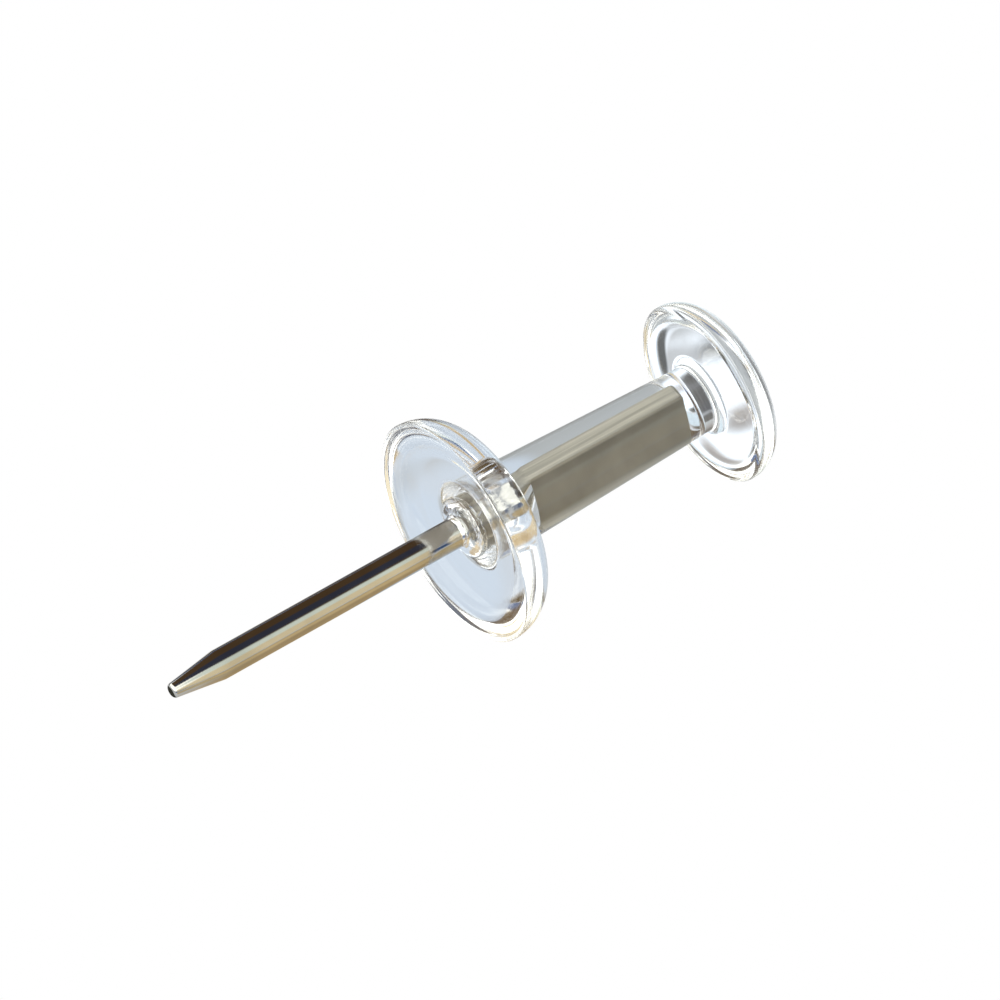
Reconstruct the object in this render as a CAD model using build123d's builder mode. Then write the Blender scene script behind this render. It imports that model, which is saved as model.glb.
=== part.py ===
import os

from build123d import *

os.makedirs("parts", exist_ok=True)

# A push pin in millimetres. The pin's axis lies along X: the needle points to -X,
# into the board, and the head stands out to +X. X is 0 at the collar's flat face,
# which is where the board's surface is when the pin is pushed home.

# Needle: hard drawn steel wire, bright plated, ground to a blunt cone.
needle_diameter = 1.04
needle_reach = 11.40
tip_cone_length = 1.90
tip_end_diameter = 0.50
tip_edge_radius = 0.11

# Buried end of the needle: the round wire is pressed flat to a blade, which is wider than the wire
# and keys into the plastic. Pressing thickens the wire a little from the collar's face to the blade.
# The two flats run out a little before the wire is fully round again.
buried_length = 9.2
thickened_from = 0.8
thickened_diameter = 1.10
blade_neck = 2.0
blade_start = 2.9
flat_runout = 0.2
blade_width = 1.72
blade_thickness = 0.50
buried_end_chamfer = 0.12

# Head: one clear moulding with a collar against the board, a slim grip and a thumb pad.
head_length = 11.4
collar_diameter = 8.0
collar_thickness = 1.68
grip_root_diameter = 2.94
grip_neck_diameter = 2.34
grip_root_fillet = 0.25
grip_neck_fillet = 0.40
pad_diameter = 6.50
pad_thickness = 1.22
pad_front_radius = 0.20
collar_edge_radius = 0.06

needle_radius = needle_diameter / 2
thickened_radius = thickened_diameter / 2
blade_half = blade_width / 2
cone_start = tip_cone_length - needle_reach

with BuildPart() as steel_needle:
    with BuildSketch(Plane.XY) as needle_profile:
        with BuildLine():
            Polyline(
                (-needle_reach, 0),
                (-needle_reach, tip_end_diameter / 2),
                (cone_start, needle_radius),
                (0, needle_radius),
                (thickened_from, thickened_radius),
                (blade_neck, thickened_radius),
                (blade_start, blade_half),
                (buried_length - buried_end_chamfer, blade_half),
                (buried_length, blade_half - buried_end_chamfer),
                (buried_length, 0),
                close=True,
            )
        make_face()
        tip_corner = (-needle_reach, tip_end_diameter / 2)
        fillet(needle_profile.vertices().sort_by_distance(tip_corner)[0], radius=tip_edge_radius)
    revolve(axis=Axis.X)

    # The press takes the wire's two sides down to the blade's flats.
    with BuildSketch(Plane.XY):
        with BuildLine():
            Polyline(
                (blade_neck - flat_runout, thickened_radius),
                (blade_start, blade_thickness / 2),
                (buried_length, blade_thickness / 2),
                (buried_length, blade_half),
                (blade_neck - flat_runout, blade_half),
                close=True,
            )
        make_face()
        mirror(about=Plane.XZ)
    extrude(amount=blade_half, both=True, mode=Mode.SUBTRACT)

with BuildPart() as clear_head:
    collar_radius = collar_diameter / 2
    pad_radius = pad_diameter / 2
    pad_start = head_length - pad_thickness
    pad_back_radius = pad_thickness - pad_front_radius

    # Half section: flat face, quarter-round back of the collar, tapered grip, pad with both edges rounded.
    with BuildSketch(Plane.XY) as head_profile:
        with BuildLine():
            Line((0, 0), (0, collar_radius))
            TangentArc(
                (0, collar_radius),
                (collar_thickness, collar_radius - collar_thickness),
                tangent=(1, 0),
            )
            Line(
                (collar_thickness, collar_radius - collar_thickness),
                (collar_thickness, grip_root_diameter / 2),
            )
            Polyline(
                (collar_thickness, grip_root_diameter / 2),
                (pad_start, grip_neck_diameter / 2),
                (pad_start, pad_radius - pad_front_radius),
            )
            TangentArc(
                (pad_start, pad_radius - pad_front_radius),
                (pad_start + pad_front_radius, pad_radius),
                tangent=(0, 1),
            )
            TangentArc(
                (pad_start + pad_front_radius, pad_radius),
                (head_length, pad_radius - pad_back_radius),
                tangent=(1, 0),
            )
            Polyline((head_length, pad_radius - pad_back_radius), (head_length, 0), (0, 0))
        make_face()
        corners = {
            (0, collar_radius): collar_edge_radius,
            (collar_thickness, grip_root_diameter / 2): grip_root_fillet,
            (pad_start, grip_neck_diameter / 2): grip_neck_fillet,
        }
        for corner, radius in corners.items():
            fillet(head_profile.vertices().sort_by_distance(corner)[0], radius=radius)
    revolve(axis=Axis.X)

    # The plastic is moulded round the needle, so its socket is the needle's own shape.
    add(steel_needle.part, mode=Mode.SUBTRACT)

steel_needle.part.label = "steel_needle"
clear_head.part.label = "clear_head"

export_step(steel_needle.part, "parts/steel_needle.step")
export_step(clear_head.part, "parts/clear_head.step")
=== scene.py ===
import math

import bmesh
import bpy
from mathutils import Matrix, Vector


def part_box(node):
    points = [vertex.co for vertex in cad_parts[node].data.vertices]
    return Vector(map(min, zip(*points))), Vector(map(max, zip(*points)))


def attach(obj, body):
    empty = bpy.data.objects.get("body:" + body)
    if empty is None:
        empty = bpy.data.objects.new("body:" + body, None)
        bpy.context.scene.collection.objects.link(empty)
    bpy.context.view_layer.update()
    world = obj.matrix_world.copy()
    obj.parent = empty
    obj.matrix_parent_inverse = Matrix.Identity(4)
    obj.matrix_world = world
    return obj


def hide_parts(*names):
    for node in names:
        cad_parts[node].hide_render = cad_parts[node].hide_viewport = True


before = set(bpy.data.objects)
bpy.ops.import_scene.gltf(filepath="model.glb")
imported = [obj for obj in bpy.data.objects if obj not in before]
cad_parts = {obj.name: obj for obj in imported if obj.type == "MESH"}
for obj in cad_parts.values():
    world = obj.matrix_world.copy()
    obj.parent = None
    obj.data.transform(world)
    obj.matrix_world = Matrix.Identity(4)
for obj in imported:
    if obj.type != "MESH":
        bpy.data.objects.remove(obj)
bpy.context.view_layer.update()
bpy.ops.object.select_all(action="DESELECT")

# The needle is one length of drawn steel wire with a bright nickel plate. The free end is ground to a
# blunt cone. The other end is pressed to a flat blade, which the plastic of the head is moulded round.
mm = 0.001
needle_low, needle_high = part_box("steel_needle")
needle_tip_x = needle_low[0]
needle_end_x = needle_high[0]
wire_radius = 0.52 * mm
wire_corners = 180
tip_cone_length = 1.90 * mm
tip_end_radius = 0.25 * mm
tip_edge_round = 0.11 * mm
cone_start_x = needle_tip_x + tip_cone_length
thickened_x = 0.80 * mm
thickened_radius = 0.55 * mm
blade_neck_x = 2.00 * mm
blade_x = 2.90 * mm
blade_half_width = 0.86 * mm
blade_half_thickness = 0.25 * mm
blade_chamfer = 0.12 * mm
pick_slack = 0.002 * mm
seam_gap = 0.0004 * mm
crease_angle = math.radians(25)


def start_turned_piece(name, x, radius, corners):
    """A filled disc across the pin's axis, in edit mode, from which a turned piece is drawn out along X."""
    bpy.ops.mesh.primitive_circle_add(
        vertices=corners,
        radius=radius,
        fill_type="TRIFAN",
        location=(x, 0, 0),
        rotation=(0, math.radians(90), 0),
    )
    piece = bpy.context.object
    piece.name = name
    piece.data.name = name
    bpy.ops.object.transform_apply(location=True, rotation=True, scale=True)
    bpy.ops.object.mode_set(mode="EDIT")
    bpy.ops.mesh.select_all(action="SELECT")
    return piece


def draw_out(stations, x, radius):
    """Extrudes the selected disc through the stations, each a place along X and a radius there."""
    for next_x, next_radius in stations:
        bpy.ops.mesh.extrude_region_move(TRANSFORM_OT_translate={"value": (next_x - x, 0, 0)})
        growth = next_radius / radius
        bpy.ops.transform.resize(value=(1, growth, growth), center_override=(next_x, 0, 0))
        x = next_x
        radius = next_radius


def round_corner(piece, x, radius, size, segments):
    """Bevels the ring of edges at a place along X and a radius to a round of that size."""
    bpy.ops.mesh.select_all(action="DESELECT")
    turned = bmesh.from_edit_mesh(piece.data)
    for edge in turned.edges:
        on_ring = [
            abs(vert.co.x - x) < pick_slack
            and abs(math.hypot(vert.co.y, vert.co.z) - radius) < pick_slack
            for vert in edge.verts
        ]
        if all(on_ring):
            edge.select_set(True)
    bmesh.update_edit_mesh(piece.data)
    bpy.ops.mesh.bevel(offset=size, segments=segments, profile=0.5, affect="EDGES", clamp_overlap=False)


def press_flat(piece, low_x, high_x, half_width, half_thickness):
    """Presses the rings between two places along X flat from both sides, to a blade standing upright."""
    for side in (1, -1):
        bpy.ops.mesh.select_all(action="DESELECT")
        pressed = bmesh.from_edit_mesh(piece.data)
        for vert in pressed.verts:
            along = low_x - pick_slack < vert.co.x < high_x + pick_slack
            inside = math.hypot(vert.co.y, vert.co.z) < half_width + pick_slack
            vert.select_set(along and inside and vert.co.y * side > half_thickness)
        pressed.select_flush_mode()
        bmesh.update_edit_mesh(piece.data)
        bpy.ops.transform.resize(value=(1, 0, 1), center_override=(0, side * half_thickness, 0))


def finish_turned_piece(piece):
    """Closes the seams, turns the faces outwards and shades the rounds smooth, with the flats kept flat."""
    bpy.ops.mesh.select_all(action="SELECT")
    bpy.ops.mesh.remove_doubles(threshold=seam_gap)
    bpy.ops.mesh.normals_make_consistent(inside=False)
    bpy.ops.object.mode_set(mode="OBJECT")
    bpy.ops.object.shade_smooth_by_angle(angle=crease_angle)
    bpy.ops.object.modifier_add(type="WEIGHTED_NORMAL")
    piece.modifiers[-1].keep_sharp = True
    bpy.ops.object.modifier_apply(modifier=piece.modifiers[-1].name)


needle = start_turned_piece("needle", needle_tip_x, tip_end_radius, wire_corners)
draw_out(
    [
        (cone_start_x, wire_radius),
        (0, wire_radius),
        (thickened_x, thickened_radius),
        (blade_neck_x, thickened_radius),
        (blade_x, blade_half_width),
        (needle_end_x - blade_chamfer, blade_half_width),
        (needle_end_x, blade_half_width - blade_chamfer),
    ],
    needle_tip_x,
    tip_end_radius,
)
round_corner(needle, needle_tip_x, tip_end_radius, tip_edge_round, segments=6)
press_flat(needle, blade_x, needle_end_x, blade_half_width, blade_half_thickness)
finish_turned_piece(needle)

# Plated wire: fine lines along it from drawing, rings round the cone from grinding, a few dull patches.
# The press has left the blade's flats dull and dark. Its edges are painted paler, a painted highlight where
# they would catch the light. Lumps are the number of lumps that a pattern has to a metre, along X, Y and Z
# where these differ.
drawn_line_lumps = (150, 9000, 9000)
ground_ring_lumps = (22000, 700, 700)
dull_patch_lumps = 900
grinding_overrun = 0.05 * mm
grinding_fade = 0.15 * mm
# How far in from the blade's edges the painted highlight starts, and where it is at full strength.
glint_paint_from = 0.24 * mm
glint_paint_full_from = 0.048 * mm
dull_plate = (0.48, 0.47, 0.44)
bright_plate = (0.57, 0.56, 0.53)
dark_flat = (0.26, 0.25, 0.22)
light_flat = (0.34, 0.325, 0.29)
# The two edge tones are the colours of the painted highlight on the blade's edges.
dim_painted_glint = (0.50, 0.48, 0.42)
bright_painted_glint = (0.82, 0.79, 0.70)
pressed_roughness = 0.60
tool_mark_depth = 0.01 * mm
tool_mark_strength = 0.10


def feed(tree, socket, value):
    """Gives a socket another node's output, or a plain number or colour."""
    if isinstance(value, bpy.types.NodeSocket):
        tree.links.new(value, socket)
    else:
        socket.default_value = value


def add_noise(tree, place, lumps, detail):
    """A cloudy pattern of even lumps."""
    noise = tree.nodes.new("ShaderNodeTexNoise")
    noise.inputs["Scale"].default_value = lumps
    noise.inputs["Detail"].default_value = detail
    feed(tree, noise.inputs["Vector"], place)
    return noise.outputs["Fac"]


def add_stretched_noise(tree, place, lumps, detail):
    """A cloudy pattern whose lumps are longer along some axes than along others."""
    stretched = tree.nodes.new("ShaderNodeMapping")
    stretched.inputs["Scale"].default_value = lumps
    feed(tree, stretched.inputs["Vector"], place)
    return add_noise(tree, stretched.outputs["Vector"], 1.0, detail)


def add_ramp(tree, value, low, high, at_low=0.0, at_high=1.0, course="LINEAR"):
    """A number that goes from at_low to at_high while a value goes from low to high, and no further."""
    ramp = tree.nodes.new("ShaderNodeMapRange")
    ramp.interpolation_type = course
    ramp.inputs["From Min"].default_value = low
    ramp.inputs["From Max"].default_value = high
    ramp.inputs["To Min"].default_value = at_low
    ramp.inputs["To Max"].default_value = at_high
    feed(tree, ramp.inputs["Value"], value)
    return ramp.outputs["Result"]


def add_tones(tree, pattern, low, high):
    """Colours a pattern, from a tone at a low level of it to another at a high level."""
    tones = tree.nodes.new("ShaderNodeValToRGB")
    for end, (level, tone) in zip(tones.color_ramp.elements, (low, high)):
        end.position = level
        end.color = (*tone, 1)
    feed(tree, tones.inputs["Fac"], pattern)
    return tones.outputs["Color"]


def lay_over(tree, kind, below, cover, top):
    """Lays one number (FLOAT) or colour (RGBA) over another, as far as the cover goes."""
    over = tree.nodes.new("ShaderNodeMix")
    over.data_type = kind
    feed(tree, over.inputs["Factor"], cover)
    feed(tree, over.inputs["A"], below)
    feed(tree, over.inputs["B"], top)
    return over.outputs["Result"]


def add_relief(tree, height, depth, strength, below=None):
    """Raises a pattern out of the surface, or out of another relief below it."""
    relief = tree.nodes.new("ShaderNodeBump")
    relief.inputs["Distance"].default_value = depth
    feed(tree, relief.inputs["Strength"], strength)
    feed(tree, relief.inputs["Height"], height)
    if below is not None:
        feed(tree, relief.inputs["Normal"], below)
    return relief.outputs["Normal"]


plated_steel = bpy.data.materials.new("plated_steel")
plated_steel.use_nodes = True
steel = plated_steel.node_tree
steel_shader = steel.nodes["Principled BSDF"]
steel_place = steel.nodes.new("ShaderNodeTexCoord").outputs["Object"]
drawn_lines = add_stretched_noise(steel, steel_place, drawn_line_lumps, detail=3.0)
ground_rings = add_stretched_noise(steel, steel_place, ground_ring_lumps, detail=2.0)
dull_patches = add_noise(steel, steel_place, dull_patch_lumps, detail=4.0)

steel_axes = steel.nodes.new("ShaderNodeSeparateXYZ")
feed(steel, steel_axes.inputs["Vector"], steel_place)
off_middle = steel.nodes.new("ShaderNodeMath")
off_middle.operation = "ABSOLUTE"
feed(steel, off_middle.inputs[0], steel_axes.outputs["Z"])
ground_from_x = cone_start_x + grinding_overrun
on_cone = add_ramp(steel, steel_axes.outputs["X"], ground_from_x, ground_from_x - grinding_fade)
on_blade = add_ramp(steel, steel_axes.outputs["X"], blade_neck_x, blade_x)
# Painted highlight: a cover over the blade's edges, where they would catch the light.
painted_glint_cover = add_ramp(
    steel,
    off_middle.outputs["Value"],
    blade_half_width - glint_paint_from,
    blade_half_width - glint_paint_full_from,
)

plate_colour = add_tones(steel, dull_patches, low=(0.30, dull_plate), high=(0.70, bright_plate))
flat_colour = add_tones(steel, dull_patches, low=(0.30, dark_flat), high=(0.70, light_flat))
# The painted highlight's colour, streaked by the drawing lines.
painted_glint_colour = add_tones(steel, drawn_lines, low=(0.35, dim_painted_glint), high=(0.65, bright_painted_glint))
blade_colour = lay_over(steel, "RGBA", flat_colour, painted_glint_cover, painted_glint_colour)
steel_colour = lay_over(steel, "RGBA", plate_colour, on_blade, blade_colour)
feed(steel, steel_shader.inputs["Base Color"], steel_colour)

bare_plate = add_ramp(steel, on_blade, 0.0, 1.0, at_low=1.0, at_high=0.0)
feed(steel, steel_shader.inputs["Metallic"], bare_plate)
tool_marks = lay_over(steel, "FLOAT", drawn_lines, on_cone, ground_rings)
plate_roughness = add_ramp(steel, tool_marks, 0.0, 1.0, at_low=0.06, at_high=0.14)
steel_roughness = lay_over(steel, "FLOAT", plate_roughness, on_blade, pressed_roughness)
feed(steel, steel_shader.inputs["Roughness"], steel_roughness)
steel_relief = add_relief(steel, tool_marks, tool_mark_depth, tool_mark_strength)
feed(steel, steel_shader.inputs["Normal"], steel_relief)

needle.data.materials.append(plated_steel)
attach(needle, "root")
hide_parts("steel_needle")

# The head is one clear acrylic moulding: a collar against the board, a slim tapered grip and a thumb pad.
# It clings to the blade buried in the grip. In the thick root of the grip it has shrunk off the wire as it
# cooled, so a small crumpled void lies round the wire there, and a film of air from there to the board.
bpy.ops.object.select_all(action="DESELECT")
head_low, head_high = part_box("clear_head")
collar_face_x = head_low[0]
pad_face_x = head_high[0]
head_corners = 256
collar_radius = 4.00 * mm
collar_thickness = 1.68 * mm
collar_edge_round = 0.06 * mm
collar_back_round = collar_thickness - collar_edge_round
grip_root_radius = 1.47 * mm
grip_neck_radius = 1.17 * mm
grip_root_fillet = 0.25 * mm
grip_neck_fillet = 0.40 * mm
pad_radius = 3.25 * mm
pad_thickness = 1.22 * mm
pad_front_x = pad_face_x - pad_thickness
pad_front_round = 0.20 * mm
pad_back_round = pad_face_x - pad_front_x - pad_front_round
cling = 0.005 * mm
air_film = 0.02 * mm
socket_end_x = needle_end_x - cling
socket_end_radius = blade_half_width - blade_chamfer - cling
void_middle_x = 1.35 * mm
void_half_length = 0.85 * mm
void_gap = 0.07 * mm
void_swell = 0.46 * mm
void_steps = 18

void_rings = []
for step in range(void_steps + 1):
    turn = math.pi * step / void_steps
    ring_x = void_middle_x + void_half_length * math.cos(turn)
    void_rings.append((ring_x, thickened_radius + void_gap + void_swell * math.sin(turn)))

# The inside comes first, from the blade's end to the board, and then the outside, from there to the pad.
head = start_turned_piece("head", socket_end_x, socket_end_radius, head_corners)
draw_out(
    [
        (needle_end_x - blade_chamfer, blade_half_width - cling),
        (blade_x, blade_half_width - cling),
        *void_rings,
        (collar_face_x, wire_radius + air_film),
        (collar_face_x, collar_radius),
        (collar_thickness, collar_radius),
        (collar_thickness, grip_root_radius),
        (pad_front_x, grip_neck_radius),
        (pad_front_x, pad_radius),
        (pad_face_x, pad_radius),
    ],
    socket_end_x,
    socket_end_radius,
)
press_flat(head, blade_x, needle_end_x, blade_half_width, blade_half_thickness - cling)
round_corner(head, collar_face_x, collar_radius, collar_edge_round, segments=8)
round_corner(head, collar_thickness, collar_radius, collar_back_round, segments=40)
round_corner(head, collar_thickness, grip_root_radius, grip_root_fillet, segments=14)
round_corner(head, pad_front_x, grip_neck_radius, grip_neck_fillet, segments=20)
round_corner(head, pad_front_x, pad_radius, pad_front_round, segments=14)
round_corner(head, pad_face_x, pad_radius, pad_back_round, segments=32)
finish_turned_piece(head)

# Clear acrylic: a polished skin with faint flow waves and handling scuffs, a very slight blue cast, and
# crumples all over the void's wall.
acrylic_bending = 1.49
flow_wave_lumps = 420
flow_wave_depth = 0.02 * mm
flow_wave_strength = 0.25
scuff_lumps = 2600
crumple_lumps = 2200
crumple_depth = 0.12 * mm
crumple_strength = 0.9
crumple_reach = 1.10 * mm
crumple_fade = 0.10 * mm
bluer_cast = (0.955, 0.975, 1.0)
clearer_cast = (0.985, 0.992, 1.0)


def add_distance(tree, place, point):
    """How far a place is from a point."""
    away = tree.nodes.new("ShaderNodeVectorMath")
    away.operation = "DISTANCE"
    away.inputs[1].default_value = point
    feed(tree, away.inputs[0], place)
    return away.outputs["Value"]


clear_acrylic = bpy.data.materials.new("clear_acrylic")
clear_acrylic.use_nodes = True
acrylic = clear_acrylic.node_tree
acrylic_shader = acrylic.nodes["Principled BSDF"]
acrylic_shader.inputs["Transmission Weight"].default_value = 1.0
acrylic_shader.inputs["IOR"].default_value = acrylic_bending
acrylic_place = acrylic.nodes.new("ShaderNodeTexCoord").outputs["Object"]
flow_waves = add_noise(acrylic, acrylic_place, flow_wave_lumps, detail=1.0)
crumples = add_noise(acrylic, acrylic_place, crumple_lumps, detail=2.0)
scuffs = add_noise(acrylic, acrylic_place, scuff_lumps, detail=5.0)

from_void_middle = add_distance(acrylic, acrylic_place, (void_middle_x, 0, 0))
in_void = add_ramp(
    acrylic,
    from_void_middle,
    crumple_reach + crumple_fade,
    crumple_reach,
    at_high=crumple_strength,
)
crumpled = add_relief(acrylic, crumples, crumple_depth, in_void)
wavy = add_relief(acrylic, flow_waves, flow_wave_depth, flow_wave_strength, below=crumpled)
feed(acrylic, acrylic_shader.inputs["Normal"], wavy)

skin_roughness = add_ramp(acrylic, scuffs, 0.45, 0.80, at_low=0.05, at_high=0.12)
feed(acrylic, acrylic_shader.inputs["Roughness"], skin_roughness)
cast = add_tones(acrylic, flow_waves, low=(0.0, bluer_cast), high=(1.0, clearer_cast))
feed(acrylic, acrylic_shader.inputs["Base Color"], cast)

head.data.materials.append(clear_acrylic)
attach(head, "root")
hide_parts("clear_head")

# A glowing sheet lies under the pin, in place of white paper on a desk. It is no lamp: the light and shade
# that would fall on the paper are painted into its glow. It is warm at the front and dark at the back, with
# painted shade under the pin and a painted bright spot where the pad gathers the light. The photo is cut
# out on pure white, so the camera looks through the sheet to the white behind it.
bpy.ops.object.select_all(action="DESELECT")
floor_gap = 0.03 * mm
sheet_radius = 150 * mm
sheet_corners = 96
sheet_height = -collar_radius - floor_gap
bare_paper = (0.85, 0.88, 0.91, 1)
bpy.ops.mesh.primitive_circle_add(
    vertices=sheet_corners,
    radius=sheet_radius,
    fill_type="NGON",
    location=(0, 0, sheet_height),
)
bpy.ops.object.transform_apply(location=True, rotation=True, scale=True)
sheet = bpy.context.object
sheet.name = "paper_sheet"
sheet.visible_camera = False
# The sheet's colour is painted light and shade, and it glows by itself instead of being lit by the lamps.
painted_glow_paper = bpy.data.materials.new("painted_glow_paper")
painted_glow_paper.use_nodes = True
paper = painted_glow_paper.node_tree
paper.nodes.remove(paper.nodes["Principled BSDF"])
paper_place = paper.nodes.new("ShaderNodeTexCoord").outputs["Object"]


def add_sheet_area(below, label, middle, outer, inner, colour):
    """A round soft-edged area of one painted brightness on the sheet, its middle and radii in millimetres.
    """
    x, y = middle
    away = add_distance(paper, paper_place, (x * mm, y * mm, sheet_height))
    cover = add_ramp(paper, away, inner * mm, outer * mm, at_low=1.0, at_high=0.0, course="SMOOTHSTEP")
    area = lay_over(paper, "RGBA", below, cover, (*colour, 1))
    area.node.label = label
    return area


glow = add_sheet_area(bare_paper, "warm front of the desk", (5, -23), 25, 20, (0.70, 0.58, 0.36))
glow = add_sheet_area(glow, "dark back of the desk", (10, 40), 40, 28, (0.09, 0.06, 0.03))
glow = add_sheet_area(glow, "light paper behind the pad", (20, 9), 7, 6, (0.76, 0.89, 0.96))
glow = add_sheet_area(glow, "warm light before the needle", (0, -12.5), 9, 7, (0.86, 0.66, 0.36))
glow = add_sheet_area(glow, "warm shade of the needle", (-4, -1), 8, 4, (0.60, 0.45, 0.25))
glow = add_sheet_area(glow, "shade of the grip", (8, 1), 7, 5, (0.50, 0.53, 0.54))
glow = add_sheet_area(glow, "bright spot of the pad", (13, 2.6), 3.2, 2.2, (1.4, 1.5, 1.6))
glow = add_sheet_area(glow, "pale fleck on the spot", (13.5, 4.5), 1.0, 0.4, (0.62, 0.64, 0.66))
glow = add_sheet_area(glow, "dark fleck on the spot", (14.6, 4.1), 0.8, 0.3, (0.07, 0.07, 0.07))
glow = add_sheet_area(glow, "brownish fleck on the spot", (13.5, 1.3), 0.8, 0.2, (0.45, 0.42, 0.40))
glow = add_sheet_area(glow, "shade of the neck", (10.9, 3.2), 1.4, 0.6, (0.14, 0.14, 0.14))
glow = add_sheet_area(glow, "front end of that shade", (11.5, 2.0), 0.8, 0.4, (0.14, 0.14, 0.14))
glow = add_sheet_area(glow, "back end of that shade", (11.4, 4.6), 0.8, 0.4, (0.14, 0.14, 0.14))
glow = add_sheet_area(glow, "shade of the collar", (1, 2.6), 4.7, 3.7, (0.65, 0.73, 0.82))
glow = add_sheet_area(glow, "dark spot past the tip", (-13.5, 3), 5, 3, (0.06, 0.06, 0.05))
# The sheet sends out the painted light and shade as its own glow.
paper_light = paper.nodes.new("ShaderNodeEmission")
feed(paper, paper_light.inputs["Color"], glow)
feed(paper, paper.nodes["Material Output"].inputs["Surface"], paper_light.outputs["Emission"])
sheet.data.materials.append(painted_glow_paper)

# The room round the desk: dim blue walls, a broad soft light overhead and to the left, a warm lamp low at
# the front with a cooler light above it, and the dark brown side of the room to the right, almost black
# high up. The camera itself sees plain white.
blue_walls = (0.08, 0.15, 0.32, 1)
plain_white = (1, 1, 1, 1)
studio = bpy.data.worlds.new("studio")
bpy.context.scene.world = studio
studio.use_nodes = True
room = studio.node_tree
look = room.nodes.new("ShaderNodeTexCoord").outputs["Generated"]


def direction_to(azimuth, elevation):
    """The way from the pin to an azimuth, 0 in front and 90 to the right, and an elevation, in degrees."""
    turn = math.radians(azimuth)
    rise = math.radians(elevation)
    return Vector((
        math.sin(turn) * math.cos(rise),
        -math.cos(turn) * math.cos(rise),
        math.sin(rise),
    ))


def add_room_area(below, label, middle, outer, inner, colour):
    """A round soft-edged area of one brightness in the room, its middle and radii in degrees."""
    nearness = room.nodes.new("ShaderNodeVectorMath")
    nearness.operation = "DOT_PRODUCT"
    nearness.inputs[1].default_value = direction_to(*middle)
    feed(room, nearness.inputs[0], look)
    outer_nearness = math.cos(math.radians(outer))
    inner_nearness = math.cos(math.radians(inner))
    cover = add_ramp(room, nearness.outputs["Value"], outer_nearness, inner_nearness, course="SMOOTHSTEP")
    area = lay_over(room, "RGBA", below, cover, (*colour, 1))
    area.node.label = label
    return area


light = add_room_area(blue_walls, "soft light overhead", (243, 77), 77, 73, (2.2, 2.2, 2.05))
light = add_room_area(light, "warm lamp low in front", (22, 18), 30, 18, (1.05, 0.90, 0.60))
light = add_room_area(light, "cooler light above the lamp", (30, 52), 24, 14, (1.0, 1.1, 1.0))
light = add_room_area(light, "dark brown side of the room", (115, 38), 58, 50, (0.10, 0.06, 0.03))
light = add_room_area(light, "almost black high up", (95, 76), 24, 14, (0.045, 0.05, 0.08))
whose_ray = room.nodes.new("ShaderNodeLightPath")
seen = lay_over(room, "RGBA", light, whose_ray.outputs["Is Camera Ray"], plain_white)
feed(room, room.nodes["Background"].inputs["Color"], seen)

# The camera stands where the photo was taken, above the pin and to its front left, and looks at the pin's
# middle through a long lens.
camera_azimuth = -36.79
camera_elevation = 48.34
camera_distance = 350 * mm
camera_target = Vector((2.03, 0.17, 0.14)) * mm
nearest_seen = 10 * mm
picture_span = 32.85 * mm
camera_back = direction_to(camera_azimuth, camera_elevation)
bpy.ops.object.camera_add(
    location=camera_target + camera_back * camera_distance,
    rotation=camera_back.to_track_quat("Z", "Y").to_euler(),
)
camera = bpy.context.object
camera.data.sensor_width = 36
camera.data.lens = camera.data.sensor_width * camera_distance / picture_span
camera.data.clip_start = nearest_seen
bpy.context.scene.camera = camera

# Plain colours as the photo has them, and enough bounces for light to cross the clear head several times.
light_bounces = 24
bpy.context.scene.view_settings.view_transform = "Standard"
bpy.context.scene.cycles.max_bounces = light_bounces
bpy.context.scene.cycles.transmission_bounces = light_bounces
bpy.context.scene.cycles.glossy_bounces = light_bounces
